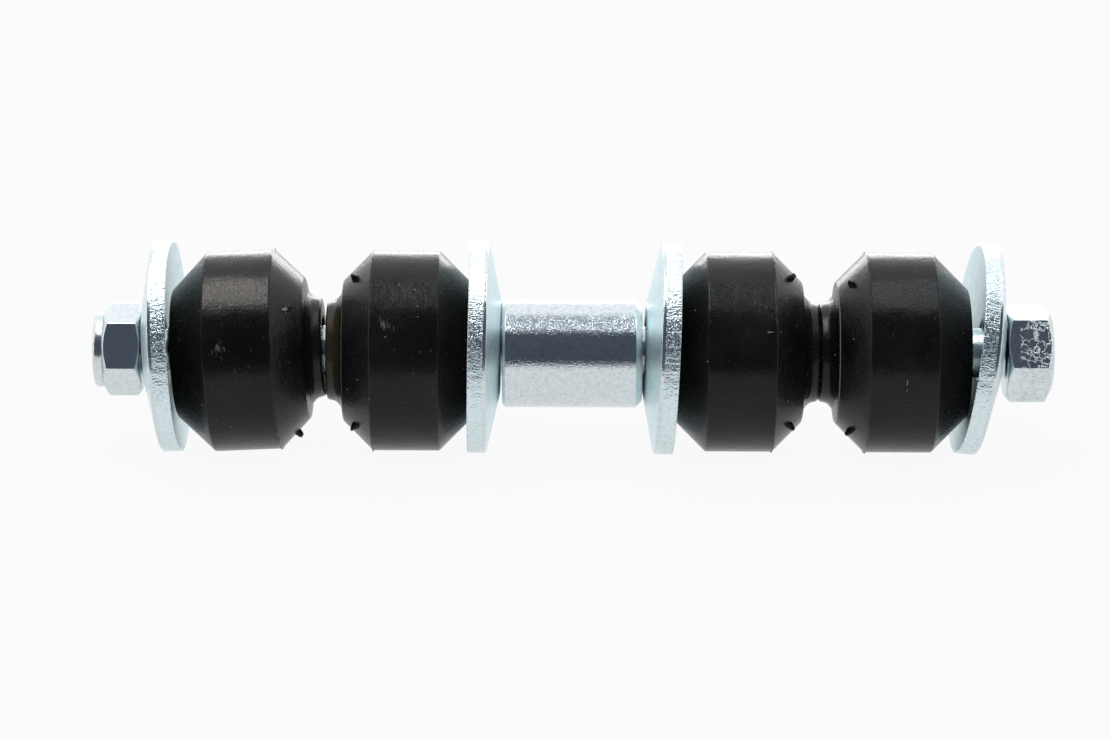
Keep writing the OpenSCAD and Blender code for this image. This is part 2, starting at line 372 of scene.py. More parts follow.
class Finishes(bpy.types.PropertyGroup):
    """Colours and surfaces"""

    zinc: colour("Zinc", "Bright plating", (0.65, 0.70, 0.71, 1))
    zinc_shade: colour("Zinc Shade", "Duller clouds in the plating", (0.57, 0.63, 0.645, 1))
    sheet: colour("Sheet", "Plating of the washers, a little green", (0.72, 0.86, 0.885, 1))
    sheet_shade: colour("Sheet Shade", "Duller clouds in the washers' plating", (0.64, 0.785, 0.81, 1))
    zinc_stain: colour("Zinc Stain", "Specks and pits in the plating", (0.17, 0.20, 0.22, 1))
    rubber: colour("Rubber", "Moulded skin", (0.0018, 0.0018, 0.0020, 1))
    rubber_bloom: colour("Rubber Bloom", "Greyer clouds in the skin", (0.0055, 0.0052, 0.0052, 1))
    # The dust colour also paints the highlights along two shoulder edges and on one gate stub
    rubber_dust_and_highlight: colour("Rubber Dust", "Dust and scuffs", (0.16, 0.16, 0.155, 1))
    rubber_rust: colour("Rubber Rust", "Brown dust on one pilot", (0.017, 0.0125, 0.0075, 1))
    nylon: colour("Nylon", "Insert", (0.78, 0.78, 0.72, 1))
    nylon_shade: colour("Nylon Shade", "Marks in the insert", (0.62, 0.61, 0.54, 1))


class StageSizes(bpy.types.PropertyGroup):
    """Camera, floor and lights"""

    elevation: degrees("Elevation", "Camera above the horizon", 20)
    distance: length("Distance", "Camera to the bolt's axis", 0.62)
    pixel: length("Pixel", "Size of one pixel at the bolt's axis", 0.000161)
    along: length("Along", "Middle of the view along the bolt", -0.00274)
    below: length("Below", "Middle of the view below the bolt", 0.00303)
    roll: degrees("Roll", "Tilt of the camera", 0.25)
    floor_size: length("Floor", "Side of the floor", 8.0)
    floor_colour: colour("Floor Colour", "Matt colour of the floor", (0.02, 0.02, 0.02, 1))
    floor_light: colour("Floor Light", "Colour of the floor's own light", (0.99, 0.99, 1.0, 1))
    floor_glow: amount("Floor Glow", "Light that the floor gives", 0.942)
    sky: amount("Sky", "Strength of the bright surround", 1.3)
    sky_colour: colour("Sky Colour", "Colour of the bright surround", (0.97, 0.98, 1.0, 1))
    panel_height: length("Panel Height", "Light panel above the floor", 0.6)
    panel_depth: length("Panel Depth", "Its size across the bolt", 0.4)
    panel_width: length("Panel Width", "Its size along the bolt", 0.44)
    panel_light: amount("Panel Light", "Its brightness over the nut's end", 12.5)
    rim_distance: length("Rim Distance", "Upright light panel behind the link", 0.6)
    rim_width: length("Rim Width", "Its size along the bolt", 0.5)
    rim_height: length("Rim Height", "Its size from the floor up", 0.2)
    rim_light: amount("Rim Light", "Its brightness", 4.0)
    card_distance: length("Card Distance", "Dark card in front of the link", 0.2)
    card_width: length("Card Width", "Side to side", 1.2)
    card_height: length("Card Height", "From the floor up", 0.58)
    card_colour: colour("Card Colour", "Dark cloth", (0.055, 0.065, 0.085, 1))


class LinkSettings(bpy.types.PropertyGroup):
    """All settings of the link"""

    bushing: bpy.props.PointerProperty(type=BushingSizes)
    washer: bpy.props.PointerProperty(type=WasherSizes)
    sleeve: bpy.props.PointerProperty(type=SleeveSizes)
    bolt: bpy.props.PointerProperty(type=BoltSizes)
    nut: bpy.props.PointerProperty(type=NutSizes)
    finish: bpy.props.PointerProperty(type=Finishes)
    stage: bpy.props.PointerProperty(type=StageSizes)


# Outlines and turned meshes

def rounded(corners):
    """Outline through corners of (radius, height, rounding), each an arc as large as its sides allow."""
    outline = []
    for i, (radius, height, rounding) in enumerate(corners):
        if not rounding:
            outline.append((radius, height))
            continue
        here = Vector((radius, height))
        back = Vector(corners[i - 1][:2]) - here
        ahead = Vector(corners[(i + 1) % len(corners)][:2]) - here
        half = back.angle(ahead) / 2
        reach = min(rounding / math.tan(half), ARC_SHARE * back.length, ARC_SHARE * ahead.length)
        back.normalize()
        ahead.normalize()
        centre = here + (back + ahead).normalized() * reach / math.cos(half)
        start = here + back * reach - centre
        end = here + ahead * reach - centre
        bend = start.length
        outline += [tuple(centre + start.slerp(end, step / ARC_STEPS) * bend) for step in range(ARC_ROWS)]
    return outline


def even_angles(steps):
    """Angles of a full turn in even steps."""
    return [math.tau * step / steps for step in range(steps)]


def hexagon_angles(turn, room):
    """Angles of a full turn, close together at the six corners. Room is half the angle of a corner."""
    flat = SIXTH / 2 - room
    angles = []
    for side in range(HEXAGON_SIDES):
        middle = turn + side * SIXTH
        angles += [middle - flat + 2 * flat * step / FLAT_STEPS for step in range(FLAT_STEPS)]
        angles += [middle + flat + 2 * room * step / CORNER_STEPS for step in range(CORNER_STEPS)]
    return angles


def hexagon_radius(angle, turn, flats, corner_round):
    """Distance from the middle of a hexagon with rounded corners to its side, in one direction."""
    off = (angle - turn + SIXTH / 2) % SIXTH - SIXTH / 2
    half = flats / 2
    inner = half - corner_round
    if abs(half * math.tan(off)) <= inner * math.tan(SIXTH / 2):
        return half / math.cos(off)
    centre = inner / math.cos(SIXTH / 2)
    away = SIXTH / 2 - abs(off)
    return centre * math.cos(away) + math.sqrt(corner_round**2 - (centre * math.sin(away)) ** 2)


def corner_room(flats, corner_round):
    """Half the angle that a rounded corner of a hexagon takes."""
    half = flats / 2
    return SIXTH / 2 - math.atan((half - corner_round) * math.tan(SIXTH / 2) / half)


def mark_grain(mesh, seed):
    """Keeps each point's own place, in millimetres, for the finishes to follow."""
    shift = GRAIN_STEP * seed
    grain = mesh.attributes.new("grain", "FLOAT_VECTOR", "POINT")
    for point, vertex in zip(grain.data, mesh.vertices):
        point.vector = vertex.co / MM + shift


def turned(name, outline_at, angles, place, finishes, closed=True, finish_of_row=None, seed=0):
    """Piece with one outline of (radius, height) for each angle round local Z, stood in the frame by place.

    A closed outline makes a ring. An open one starts and ends on the axis. finish_of_row gives the place
    in finishes of the finish of the strip that follows a row of the outline."""
    outlines = [outline_at(angle) for angle in angles]
    rows = len(outlines[0])
    strips = rows if closed else rows - 1
    points = [
        (radius * math.cos(angle), radius * math.sin(angle), height)
        for angle, outline in zip(angles, outlines)
        for radius, height in outline
    ]
    faces = []
    slots = []
    for turn in range(len(angles)):
        here = turn * rows
        there = (turn + 1) % len(angles) * rows
        for row in range(strips):
            above = (row + 1) % rows
            faces.append((here + row, there + row, there + above, here + above))
            slots.append(finish_of_row(row) if finish_of_row else 0)
    mesh = bpy.data.meshes.new(name)
    mesh.from_pydata(points, [], faces)
    mesh.polygons.foreach_set("material_index", slots)
    close_mesh(mesh)
    mark_grain(mesh, seed)
    mesh.transform(place)
    return show(name, mesh, finishes)


def close_mesh(mesh):
    """Joins points that coincide, and turns all faces outwards."""
    shape = bmesh.new()
    shape.from_mesh(mesh)
    bmesh.ops.remove_doubles(shape, verts=shape.verts, dist=SAME_POINT)
    bmesh.ops.recalc_face_normals(shape, faces=shape.faces)
    shape.to_mesh(mesh)
    shape.free()


def show(name, mesh, finishes):
    """Puts a mesh in the scene, smooth, with flat faces kept flat by the weight of their area."""
    for finish in finishes:
        mesh.materials.append(finish)
    mesh.shade_smooth()
    piece = bpy.data.objects.new(name, mesh)
    bpy.context.scene.collection.objects.link(piece)
    piece.modifiers.new("flat faces", "WEIGHTED_NORMAL")
    return plain(piece)


def plain(piece):
    """Turns what a piece's modifiers make into its own mesh, and removes them."""
    ready = piece.evaluated_get(bpy.context.evaluated_depsgraph_get())
    made = bpy.data.meshes.new_from_object(ready)
    made.name = piece.name
    piece.modifiers.clear()
    piece.data = made
    return piece


def carry(piece, name, stands_for=True):
    """Rides a piece on a CAD node's body, and lets it stand for the node."""
    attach(piece, body_of(name))
    if stands_for:
        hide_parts(name)


def ripple(angle, waves, seed):
    """Smooth unevenness round a full turn, between -1 and 1."""
    return noise.noise(Vector((math.cos(angle) * waves, math.sin(angle) * waves, WAVE_STEP * seed)))


# Node trees

def feed(tree, socket, value):
    """Gives a socket a value, or links it to the socket of another node."""
    if isinstance(value, bpy.types.NodeSocket):
        tree.links.new(value, socket)
    else:
        socket.default_value = value


def node(tree, kind, inputs=None, **settings):
    """Node with its settings and its inputs, each a value or the socket of another node."""
    made = tree.nodes.new(kind)
    for key, value in settings.items():
        setattr(made, key, value)
    for key, value in (inputs or {}).items():
        feed(tree, made.inputs[key], value)
    return made


def maths(tree, operation, *values):
    """Arithmetic on numbers, each a value or the socket of another node."""
    return node(tree, "ShaderNodeMath", dict(enumerate(values)), operation=operation).outputs[0]


def vectors(tree, operation, *values, **inputs):
    """Arithmetic on vectors, each a value or the socket of another node."""
    inputs.update(enumerate(values))
    return node(tree, "ShaderNodeVectorMath", inputs, operation=operation).outputs["Vector"]


def distance(tree, first, second):
    """Distance between two places."""
    return node(tree, "ShaderNodeVectorMath", {0: first, 1: second}, operation="DISTANCE").outputs["Value"]


def along_axis(tree, reach):
    """Vector along local Z."""
    return node(tree, "ShaderNodeCombineXYZ", {"Z": reach}).outputs["Vector"]


def part(tree, place, axis):
    """Part of a place along one axis."""
    return node(tree, "ShaderNodeSeparateXYZ", {"Vector": place}).outputs[axis]


def cloud(tree, place, scale, detail=2.0, roughness=0.5):
    """Noise between 0 and 1."""
    inputs = {"Vector": place, "Scale": scale, "Detail": detail, "Roughness": roughness}
    return node(tree, "ShaderNodeTexNoise", inputs).outputs["Fac"]


def ramp(tree, value, stops):
    """Colour by value, through stops of (position, colour)."""
    made = node(tree, "ShaderNodeValToRGB", {"Fac": value})
    elements = made.color_ramp.elements
    while len(elements) < len(stops):
        elements.new(1.0)
    for element, (position, tone) in zip(elements, stops):
        element.position = position
        element.color = tone
    return made.outputs["Color"]


def between(tree, value, source, target):
    """Value moved from one range of (start, end) to another."""
    inputs = {"Value": value, "From Min": source[0], "From Max": source[1]}
    inputs.update({"To Min": target[0], "To Max": target[1]})
    return node(tree, "ShaderNodeMapRange", inputs).outputs["Result"]


def fading(tree, value, fade, strength=1.0):
    """Strength of a mark that fades out while a value grows from one end of fade to the other."""
    return between(tree, value, fade, (strength, 0.0))


def growing(tree, value, growth, strength=1.0):
    """Strength of a mark that grows from nothing while a value goes from one end of growth to the other."""
    return between(tree, value, growth, (0.0, strength))


def mixed(tree, factor, first, second):
    """Colour between two others."""
    made = node(tree, "ShaderNodeMix", {0: factor, 6: first, 7: second}, data_type="RGBA")
    return made.outputs[2]


def stretched(tree, place, scale):
    """Texture space scaled by its own amount on each axis."""
    return node(tree, "ShaderNodeMapping", {"Vector": place, "Scale": scale}).outputs["Vector"]


def bumped(tree, height, depth, under=None):
    """Normal of a surface with bumps of that depth in metres, on top of another normal."""
    inputs = {"Height": height, "Strength": 1.0, "Distance": depth}
    if under:
        inputs["Normal"] = under
    return node(tree, "ShaderNodeBump", inputs).outputs["Normal"]


def new_material(name):
    """Material with its tree and its surface shader."""
    material = bpy.data.materials.new(name)
    material.use_nodes = True
    return material, material.node_tree, material.node_tree.nodes["Principled BSDF"]


def new_finish(name):
    """Material with its tree, its surface shader and the grain that pieces carry."""
    material, tree, surface = new_material(name)
    grain = node(tree, "ShaderNodeAttribute", attribute_name="grain").outputs["Vector"]
    return material, tree, surface, grain


def finish_surface(tree, surface, **inputs):
    """Feeds the inputs of a surface shader, by name with underscores for blanks."""
    for key, value in inputs.items():
        feed(tree, surface.inputs[key.replace("_", " ")], value)


# Finishes

# Range that most of a cloud lies in
MOST = (0.3, 0.7)

# Depths of the bumps of the finishes, in metres
PLATING_GRAIN = 0.00003
TUBE_SPARKLE = 0.000036
TORN_GRAIN = 0.00013
CRACK_HEIGHT = 0.00004
RUBBER_GRAIN = 0.00002
BLOOM_SWELL = 0.0002
NYLON_MARKS = 0.00003


def clouded(tree, grain, scale, dull, bright, upper=0.65):
    """Tone of plating with duller clouds in it."""
    clouds = cloud(tree, grain, scale=scale, detail=3.0)
    return ramp(tree, clouds, [(0.35, dull), (upper, bright)])


def stained(tree, grain, tone, stain, scale, growth, strength):
    """Tone with small stains, which grow where a fine cloud is low."""
    spots = growing(tree, cloud(tree, grain, scale=scale, roughness=0.6), growth, strength)
    return mixed(tree, spots, tone, stain)


def plate(tree, surface, tone, fine, gloss, normal):
    """Plates a surface with metal of a tone, as rough as a fine cloud says between two ends."""
    roughness = between(tree, fine, MOST, gloss)
    finish_surface(tree, surface, Base_Color=tone, Metallic=1.0, Roughness=roughness, Normal=normal)


def bright_zinc(finish):
    """Bright zinc on turned and rolled steel: cloudy, finely grained, with specks."""
    material, tree, surface, grain = new_finish("bright_zinc")
    clear = clouded(tree, grain, scale=1.3, dull=finish.zinc_shade, bright=finish.zinc)
    tone = stained(tree, grain, clear, finish.zinc_stain, scale=2.6, growth=(0.30, 0.24), strength=0.8)
    fine = cloud(tree, stretched(tree, grain, (2.2, 2.2, 5.0)), scale=1.0, detail=1.0)
    waves = cloud(tree, grain, scale=0.5, detail=1.0)
    normal = bumped(tree, fine, PLATING_GRAIN, bumped(tree, waves, PLATING_GRAIN))
    plate(tree, surface, tone, fine, gloss=(0.15, 0.24), normal=normal)
    return material


def drawn_zinc(finish):
    """Zinc on drawn tube: bright, with a fine sparkle and small pits."""
    material, tree, surface, grain = new_finish("drawn_zinc")
    clear = clouded(tree, grain, scale=1.3, dull=finish.zinc_shade, bright=finish.zinc)
    tone = stained(tree, grain, clear, finish.zinc_stain, scale=3.4, growth=(0.37, 0.30), strength=0.8)
    fine = cloud(tree, grain, scale=4.2, detail=1.0)
    plate(tree, surface, tone, fine, gloss=(0.08, 0.14), normal=bumped(tree, fine, TUBE_SPARKLE))
    return material


def satin_zinc(finish):
    """Zinc on rolled sheet: dull and evenly grained."""
    material, tree, surface, grain = new_finish("satin_zinc")
    clear = clouded(tree, grain, scale=0.8, dull=finish.sheet_shade, bright=finish.sheet)
    tone = stained(tree, grain, clear, finish.zinc_stain, scale=2.1, growth=(0.30, 0.24), strength=0.6)
    fine = cloud(tree, grain, scale=2.4)
    plate(tree, surface, tone, fine, gloss=(0.36, 0.48), normal=bumped(tree, fine, PLATING_GRAIN))
    return material


def torn_zinc(finish):
    """Plating over the torn strip of a sheared rim, streaked across the thickness of the sheet."""
    material, tree, surface, grain = new_finish("torn_zinc")
    streaks = cloud(tree, stretched(tree, grain, (1.0, 1.0, 0.4)), scale=3.0)
    crumbs = cloud(tree, grain, scale=4.0, detail=1.0)
    tone = ramp(tree, streaks, [(0.35, finish.zinc), (0.6, finish.sheet_shade)])
    normal = bumped(tree, crumbs, TORN_GRAIN, bumped(tree, streaks, TORN_GRAIN))
    plate(tree, surface, tone, crumbs, gloss=(0.16, 0.28), normal=normal)
    return material


# Cracks of the bolt's head: where they fade, as shares of the net's cells and in millimetres below its top
CRACK_FADE = (0.0, 0.045)
CRACKS_END = (5.3, 5.7)


def crackled_zinc(finish):
    """Plating on the forged head, crossed by a net of raised cracks."""
    material, tree, surface, grain = new_finish("crackled_zinc")
    warp = node(tree, "ShaderNodeTexNoise", {"Vector": grain, "Scale": 1.2, "Detail": 3.0}).outputs["Color"]
    warped = vectors(tree, "ADD", grain, vectors(tree, "SCALE", warp, Scale=2.2))
    net = node(tree, "ShaderNodeTexVoronoi", {"Vector": warped, "Scale": 0.6}, feature="DISTANCE_TO_EDGE")
    lines = fading(tree, net.outputs["Distance"], CRACK_FADE)
    upper = fading(tree, part(tree, grain, "Z"), CRACKS_END)
    cracks = maths(tree, "MULTIPLY", lines, upper)
    tone = clouded(tree, grain, scale=0.9, dull=finish.zinc_shade, bright=finish.zinc, upper=0.6)
    fine = cloud(tree, grain, scale=2.4)
    normal = bumped(tree, fine, PLATING_GRAIN, bumped(tree, cracks, CRACK_HEIGHT))
    plate(tree, surface, tone, fine, gloss=(0.15, 0.26), normal=normal)
    return material


# Marks on the rubber, and painted highlights on it. A place is a bushing's name and millimetres from the middle of
# its seat

# Two rubbed patches on the barrels, where they fade and how much they add to the scuffs
RUBBED_PATCHES = (("bushing_nut_outer", (-5.5, -15.1, 8.3)), ("bushing_nut_inner", (9.1, -13.2, 13.9)))
PATCH_FADE = (0.3, 2.0)
PATCH_WEAR = 0.2

# Scuffs all over: the values of their cloud from which they grow, and how light they are
SCUFF_GROWTH = (0.66, 0.76)
SCUFF_LIGHT = 0.28

# Painted highlights along the shoulder edges of two bushings and how light each is, the height and radius of that
# edge, and where the painted highlight fades beside it
PAINTED_SHOULDER_HIGHLIGHTS = (("bushing_nut_inner", 0.35), ("bushing_head_outer", 0.8))
SHOULDER_HIGHLIGHT_HEIGHT = 21.1
SHOULDER_HIGHLIGHT_RADIUS = 11.38
SHOULDER_HIGHLIGHT_FADE = (0.04, 0.12)

# Two scratches and a painted highlight on the first bushing's upper gate stub, how narrow each is along each axis,
# where they fade and how light they are
SCRATCHES_AND_GLINT = (
    # A painted highlight on the upper gate stub of the first bushing, not a scratch
    ("bushing_nut_outer", (-10.05, -9.83, 18.78), (3.0, 3.0, 1.7)),
    ("bushing_head_inner", (-8.26, -13.78, 15.4), (13.0, 13.0, 1.7)),
    ("bushing_head_outer", (0.72, -16.04, 10.86), (1.7, 1.0, 13.0)),
)
SCRATCH_AND_GLINT_FADE = (0.6, 1.0)
SCRATCH_AND_GLINT_LIGHT = 0.9

# Brown dust round the tip of one pilot, and where it fades
RUSTY_PILOT = ("bushing_nut_inner", (0.0, 0.0, 23.0))
RUST_FADE = (8.5, 11.5)

# Flecks of dust: where each fades, and the values of a cloud from which they grow
FLECK_FADE = (0.045, 0.08)
FLECK_GROWTH = (0.48, 0.56)


def rubber_wear_and_highlights(tree, grain):
    """How light the rubber is made: scuffs, worn most on the rubbed patches, two scratches, and painted
    highlights along two shoulder edges and on one gate stub.
    """
    patches = []
    for name, place in RUBBED_PATCHES:
        away = distance(tree, grain, grain_at(name, place))
        patches.append(fading(tree, away, PATCH_FADE, PATCH_WEAR))
    marks = cloud(tree, stretched(tree, grain, (0.5, 0.5, 1.6)), scale=1.6, detail=3.0, roughness=0.7)
    scuffed = maths(tree, "ADD", marks, maths(tree, "MAXIMUM", *patches))
    lightened = growing(tree, scuffed, SCUFF_GROWTH, SCUFF_LIGHT)
    # Painted highlights along the edges of two shoulders
    for name, strength in PAINTED_SHOULDER_HIGHLIGHTS:
        away = distance(tree, grain, grain_at(name, (0.0, 0.0, SHOULDER_HIGHLIGHT_HEIGHT)))
        off_edge = maths(tree, "ABSOLUTE", maths(tree, "SUBTRACT", away, SHOULDER_HIGHLIGHT_RADIUS))
        lightened = maths(tree, "MAXIMUM", lightened, fading(tree, off_edge, SHOULDER_HIGHLIGHT_FADE, strength))
    # Two scratches, and a painted highlight on a gate stub
    for name, place, narrow in SCRATCHES_AND_GLINT:
        middle = grain_at(name, place) * Vector(narrow)
        away = distance(tree, stretched(tree, grain, narrow), middle)
        lightened = maths(tree, "MAXIMUM", lightened, fading(tree, away, SCRATCH_AND_GLINT_FADE, SCRATCH_AND_GLINT_LIGHT))
    return lightened


def moulded_rubber(finish):
    """Moulded rubber: satin skin with grey bloom, fine grain and dust, worn, brown on one pilot, and painted
    highlights on two shoulder edges and a gate stub.
    """
    material, tree, surface, grain = new_finish("moulded_rubber")
    bloom = cloud(tree, grain, scale=0.12, detail=4.0, roughness=0.6)
    fine = cloud(tree, grain, scale=2.6)
    tone = ramp(tree, bloom, [(0.4, finish.rubber), (0.7, finish.rubber_bloom)])
    rust = fading(tree, distance(tree, grain, grain_at(*RUSTY_PILOT)), RUST_FADE)
    browned = mixed(tree, rust, tone, finish.rubber_rust)
    flecks = node(tree, "ShaderNodeTexVoronoi", {"Vector": grain, "Scale": 0.55, "Randomness": 1.0})
    near = fading(tree, flecks.outputs["Distance"], FLECK_FADE)
    some = growing(tree, cloud(tree, grain, scale=0.25, detail=1.0), FLECK_GROWTH)
    dusty = mixed(tree, maths(tree, "MULTIPLY", near, some), browned, finish.rubber_dust_and_highlight)
    finish_surface(
        tree,
        surface,
        Base_Color=mixed(tree, rubber_wear_and_highlights(tree, grain), dusty, finish.rubber_dust_and_highlight),
        Roughness=between(tree, fine, MOST, (0.20, 0.32)),
        Specular_IOR_Level=0.22,
        Normal=bumped(tree, fine, RUBBER_GRAIN, bumped(tree, bloom, BLOOM_SWELL)),
    )
    return material


def natural_nylon(finish):
    """Off-white nylon, a little translucent, with turning marks."""
    material, tree, surface, grain = new_finish("natural_nylon")
    marks = cloud(tree, stretched(tree, grain, (0.4, 0.4, 6.0)), scale=1.0)
    finish_surface(
        tree,
        surface,
        Base_Color=ramp(tree, marks, [(0.3, finish.nylon_shade), (0.6, finish.nylon)]),
        Roughness=between(tree, marks, MOST, (0.38, 0.5)),
        Subsurface_Weight=0.25,
        Subsurface_Scale=0.001,
        Normal=bumped(tree, marks, NYLON_MARKS),
    )
    return material


FINISHES = {
    "bright_zinc": bright_zinc,
    "drawn_zinc": drawn_zinc,
    "satin_zinc": satin_zinc,
    "torn_zinc": torn_zinc,
    "crackled_zinc": crackled_zinc,
    "moulded_rubber": moulded_rubber,
    "natural_nylon": natural_nylon,
}


def finish_named(context, name):
    """The material of a finish, made when it is first asked for."""
    made = bpy.data.materials.get(name)
    if made is None:
        made = FINISHES[name](context.scene.stabilizer_link.finish)
    return made


# Geometry node trees

# Sides, rings and end rings of a gate stub, and how fine the noise is that tears it
STUB_SIDES = 16
STUB_RINGS = 4
STUB_END_RINGS = 3
STUB_TEAR = 900.0

# Steps of the thread in one turn
THREAD_STEPS = 40


def new_geometry(name, inputs):
    """Geometry tree with its inputs, kinds by name, and the sockets that give them."""
    tree = bpy.data.node_groups.new(name, "GeometryNodeTree")
    tree.interface.new_socket(name="Geometry", in_out="OUTPUT", socket_type="NodeSocketGeometry")
    for label, kind in inputs.items():
        tree.interface.new_socket(name=label, in_out="INPUT", socket_type="NodeSocket" + kind)
    return tree, node(tree, "NodeGroupInput").outputs


def end_geometry(tree, geometry, finish):
    """Realizes, sets the finish and ends a geometry tree."""
    real = node(tree, "GeometryNodeRealizeInstances", {"Geometry": geometry}).outputs["Geometry"]
    coated = node(tree, "GeometryNodeSetMaterial", {"Geometry": real, "Material": finish})
    node(tree, "NodeGroupOutput", {"Geometry": coated.outputs["Geometry"]})


def moved(tree, geometry, **moves):
    """Geometry moved or turned."""
    return node(tree, "GeometryNodeTransform", {"Geometry": geometry, **moves}).outputs["Geometry"]


def gate_tree():
    """Torn gate stubs: a ring of points round a cone, each with a ragged stub along the cone's normal."""
    tree, given = new_geometry(
        "gate_stubs",
        {
            "Count": "Int",
            "Circle Radius": "Float",
            "Height": "Float",
            "Turn": "Float",
            "Lean": "Float",
            "Stub Radius": "Float",
            "Tip Radius": "Float",
            "Stub Length": "Float",
            "Tear": "Float",
            "Seed": "Float",
            "Finish": "Material",
        },
    )
    circle = {"Vertices": given["Count"], "Radius": given["Circle Radius"]}
    ring = node(tree, "GeometryNodeMeshCircle", circle).outputs["Mesh"]
    lift = along_axis(tree, given["Height"])
    turn = along_axis(tree, given["Turn"])
    stood = moved(tree, ring, Translation=lift, Rotation=turn)
    cone = {
        "Vertices": STUB_SIDES,
        "Side Segments": STUB_RINGS,
        "Fill Segments": STUB_END_RINGS,
        "Radius Top": given["Tip Radius"],
        "Radius Bottom": given["Stub Radius"],
        "Depth": given["Stub Length"],
    }
    stub = node(tree, "GeometryNodeMeshCone", cone).outputs["Mesh"]

    # The cone's normal at each point: the outward direction and the axis, shared out by the lean
    position = node(tree, "GeometryNodeInputPosition").outputs["Position"]
    out = vectors(tree, "NORMALIZE", vectors(tree, "MULTIPLY", position, (1.0, 1.0, 0.0)))
    side = vectors(tree, "SCALE", out, Scale=maths(tree, "SINE", given["Lean"]))
    axis = along_axis(tree, maths(tree, "COSINE", given["Lean"]))
    normal = vectors(tree, "ADD", side, axis)
    aim = node(tree, "FunctionNodeAlignRotationToVector", {"Vector": normal}, axis="Z").outputs["Rotation"]
    points = {"Points": stood, "Instance": stub, "Rotation": aim}
    stubs = node(tree, "GeometryNodeInstanceOnPoints", points).outputs["Instances"]
    real = node(tree, "GeometryNodeRealizeInstances", {"Geometry": stubs}).outputs["Geometry"]

    # The tear: noise, centred on nothing, that moves the points of the stubs
    grit = {"Vector": position, "W": given["Seed"], "Scale": STUB_TEAR, "Detail": 2.0}
    rough = node(tree, "ShaderNodeTexNoise", grit, noise_dimensions="4D").outputs["Color"]
    centred = vectors(tree, "SUBTRACT", rough, (0.5, 0.5, 0.5))
    tear = vectors(tree, "SCALE", centred, Scale=given["Tear"])
    torn = node(tree, "GeometryNodeSetPosition", {"Geometry": real, "Offset": tear}).outputs["Geometry"]
    end_geometry(tree, torn, given["Finish"])
    return tree


def thread_tree():
    """Thread ridge: a trapezium swept along a helix, its wide side towards the axis."""
    tree, given = new_geometry(
        "thread_ridge",
        {
            "Turns": "Float",
            "Radius": "Float",
            "Length": "Float",
            "Start": "Float",
            "Foot Width": "Float",
            "Crest Width": "Float",
            "Ridge Height": "Float",
            "Finish": "Material",
        },
    )
    spiral = {
        "Resolution": THREAD_STEPS,
        "Rotations": given["Turns"],
        "Start Radius": given["Radius"],
        "End Radius": given["Radius"],
        "Height": given["Length"],
        "Reverse": True,
    }
    helix = node(tree, "GeometryNodeCurveSpiral", spiral).outputs["Curve"]
    stood = moved(tree, helix, Translation=along_axis(tree, given["Start"]))
    upright = node(tree, "GeometryNodeSetCurveNormal", {"Curve": stood}, mode="Z_UP").outputs["Curve"]
    sides = {
        "Height": given["Ridge Height"],
        "Bottom Width": given["Foot Width"],
        "Top Width": given["Crest Width"],
        "Offset": 0.0,
    }
    ridge = node(tree, "GeometryNodeCurvePrimitiveQuadrilateral", sides, mode="TRAPEZOID").outputs["Curve"]
    outward = moved(tree, ridge, Rotation=(0.0, 0.0, -math.pi / 2))
    sweep = {"Curve": upright, "Profile Curve": outward, "Fill Caps": True}
    swept = node(tree, "GeometryNodeCurveToMesh", sweep).outputs["Mesh"]
    end_geometry(tree, swept, given["Finish"])
    return tree


def grown(name, tree, values, place, seed=0):
    """Piece that a geometry tree makes from values by input name, as a plain mesh stood by place."""
    piece = bpy.data.objects.new(name, bpy.data.meshes.new(name))
    bpy.context.scene.collection.objects.link(piece)
    modifier = piece.modifiers.new(tree.name, "NODES")
    modifier.node_group = tree
    for socket in tree.interface.items_tree:
        if socket.in_out == "INPUT":
            modifier[socket.identifier] = values[socket.name]
    plain(piece)
    if not piece.data.polygons:
        raise RuntimeError(f"{tree.name} made nothing for {name}")
    piece.data.materials.clear()
    piece.data.materials.append(values["Finish"])
    close_mesh(piece.data)
    piece.data.shade_smooth()
    mark_grain(piece.data, seed)
    piece.data.transform(place)
    return piece


# Pieces

def nose_ends(size):
    """Heights of the two ends of a bushing's nose cone: the parting flash and the shoulder."""
    return size.seat_cone + size.barrel, size.length - size.pilot_length


def bushing_outline(size, seed):
    """Outline of a bushing by angle, from its seat over the parting flash to the tip of its pilot."""
    barrel = size.diameter / 2
    flash_at, shoulder_at = nose_ends(size)
    slope = (barrel - size.shoulder_diameter / 2) / (shoulder_at - flash_at)
    shoulder_edge = size.shoulder_diameter / 2 + slope * size.shoulder_setback
    pilot = size.pilot_root / 2
    width = size.flash_width

    def outline_at(angle):
        waves = ripple(angle, FLASH_WAVES, seed) + ripple(angle, FLASH_RIPPLES, seed + 1)
        crest = barrel + size.flash_height * max(FLASH_LEAST, FLASH_MEAN + FLASH_SWING * waves)
        uneven = size.swell * ripple(angle, SKIN_WAVES, seed + 2)
        corners = [
            (size.bore / 2, 0, size.edge_round),
            (size.seat_diameter / 2 + uneven, 0, size.edge_round),
            (barrel + uneven, size.seat_cone, size.edge_round),
            (barrel + uneven, flash_at - width, 0),
            (crest, flash_at - FLASH_CREST * width, 0),
            (crest, flash_at, 0),
            (barrel - slope * width, flash_at + width, 0),
            (shoulder_edge + uneven, shoulder_at - size.shoulder_setback, size.shoulder_round),
            (pilot + size.flare_width, shoulder_at, size.flare_round),
            (pilot, shoulder_at + size.flare_length, size.flare_round),
            (size.pilot_tip / 2, size.length, size.edge_round),
            (size.bore / 2, size.length, size.edge_round),
        ]
        return rounded(corners)

    return outline_at


